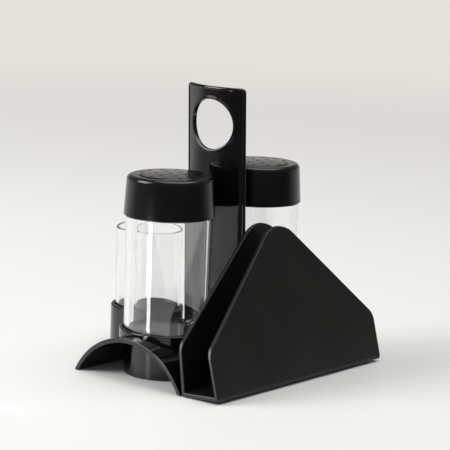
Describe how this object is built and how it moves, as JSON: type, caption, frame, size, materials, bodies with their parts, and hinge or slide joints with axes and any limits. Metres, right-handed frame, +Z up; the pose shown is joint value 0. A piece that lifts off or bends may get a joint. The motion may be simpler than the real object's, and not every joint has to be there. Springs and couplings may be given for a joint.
{
  "type": "salt and pepper shaker set on a stand",
  "caption": "Arched stand with clear lidded shakers, a toothpick cup, a napkin slot and an upright carry handle with a finger hole, for a dining table.",
  "frame": {"origin": "on the table, under the middle of the footprint's bounding box", "axes": "+Z up, -Y towards the napkin holder, X along the row of the two shakers"},
  "size_m": [0.1248, 0.119, 0.1364],
  "materials": {
    "gloss_black": "gloss",
    "satin_black": "satin",
    "clear": "clear gloss plastic"
  },
  "bodies": {
    "stand": {"stand_base": "gloss_black", "napkin_holder": "satin_black", "handle": "gloss_black"},
    "salt_shaker": {"salt_jar": "clear"},
    "salt_shaker_cap": {"salt_cap": "satin_black"},
    "pepper_shaker": {"pepper_jar": "clear"},
    "pepper_shaker_cap": {"pepper_cap": "satin_black"},
    "cup": {"toothpick_cup": "clear"}
  },
  "joints": [
    {"name": "salt_lift", "type": "slide", "parent": "stand", "child": "salt_shaker", "axis": [0, 0, 1], "range_m": [0, 0.08]},
    {"name": "salt_cap_pull", "type": "slide", "parent": "salt_shaker", "child": "salt_shaker_cap", "axis": [0, 0, 1], "range_m": [0, 0.03]},
    {"name": "pepper_lift", "type": "slide", "parent": "stand", "child": "pepper_shaker", "axis": [0, 0, 1], "range_m": [0, 0.08]},
    {"name": "pepper_cap_pull", "type": "slide", "parent": "pepper_shaker", "child": "pepper_shaker_cap", "axis": [0, 0, 1], "range_m": [0, 0.03]},
    {"name": "toothpick_cup_lift", "type": "slide", "parent": "stand", "child": "cup", "axis": [0, 0, 1], "range_m": [0, 0.07]}
  ]
}
